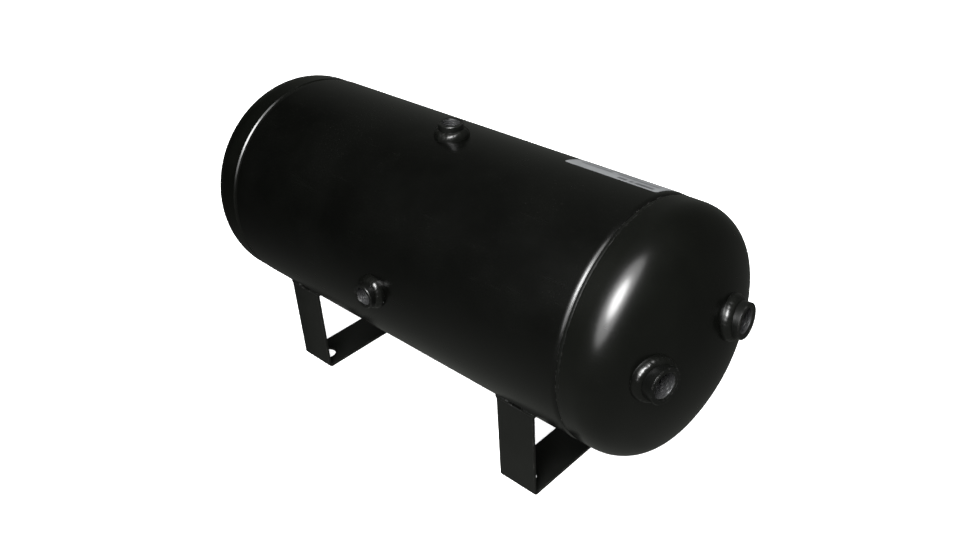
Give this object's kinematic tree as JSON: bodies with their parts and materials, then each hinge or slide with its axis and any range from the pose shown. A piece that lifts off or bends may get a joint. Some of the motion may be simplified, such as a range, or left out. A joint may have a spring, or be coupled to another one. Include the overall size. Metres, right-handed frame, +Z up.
{
  "type": "air receiver tank",
  "caption": "Horizontal cylindrical compressed-air receiver with domed ends, welded threaded ports and two bolt-down strap feet.",
  "frame": {"origin": "centre of the four foot bolt holes, on the underside of the feet", "axes": "+X along the tank towards the front head, +Z up, so -Y is the side with the side port"},
  "size_m": [0.3947, 0.1607, 0.198],
  "materials": {
    "shell_paint": "satin black enamel",
    "head_paint": "satin black enamel",
    "weld_paint": "semi-gloss black enamel over weld beads",
    "bung_paint": "semi-gloss black enamel, thin over the threads",
    "foot_paint": "satin black enamel",
    "label_film": "silver-grey printed film"
  },
  "bodies": {
    "root": {"shell": "shell_paint", "shell_seam_weld": "weld_paint", "front_head": "head_paint", "rear_head": "head_paint", "front_head_weld": "weld_paint", "rear_head_weld": "weld_paint", "front_foot": "foot_paint", "rear_foot": "foot_paint", "front_foot_welds": "weld_paint", "rear_foot_welds": "weld_paint", "rating_label": "label_film", "top_bung": "bung_paint", "top_bung_weld": "weld_paint", "side_bung": "bung_paint", "side_bung_weld": "weld_paint", "drain_bung": "bung_paint", "drain_bung_weld": "weld_paint", "front_left_bung": "bung_paint", "front_left_bung_weld": "weld_paint", "front_right_bung": "bung_paint", "front_right_bung_weld": "weld_paint"}
  },
  "joints": []
}
